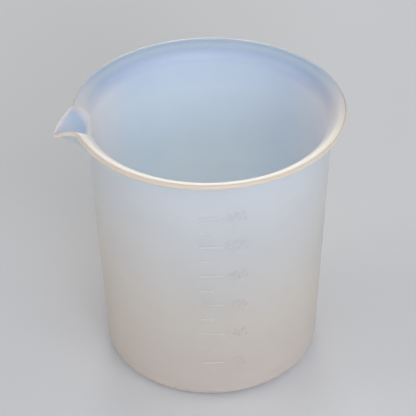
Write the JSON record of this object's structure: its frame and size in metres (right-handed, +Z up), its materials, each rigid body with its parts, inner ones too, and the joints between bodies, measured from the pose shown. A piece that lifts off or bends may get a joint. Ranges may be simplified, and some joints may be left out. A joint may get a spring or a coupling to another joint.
{
  "type": "laboratory beaker",
  "caption": "Low form laboratory beaker with a flared rim, a pouring spout and raised graduation lines, open at the top for holding, mixing and pouring liquids.",
  "frame": {"origin": "centre of the flat base, on the surface that the beaker stands on", "axes": "+Z up along the beaker's axis; the pouring spout points along -X and the graduations face -Y"},
  "size_m": [0.1184, 0.1104, 0.1162],
  "materials": {
    "milky_plastic": "milky translucent moulded plastic, satin"
  },
  "bodies": {
    "root": {"beaker_body": "milky_plastic"}
  },
  "joints": []
}
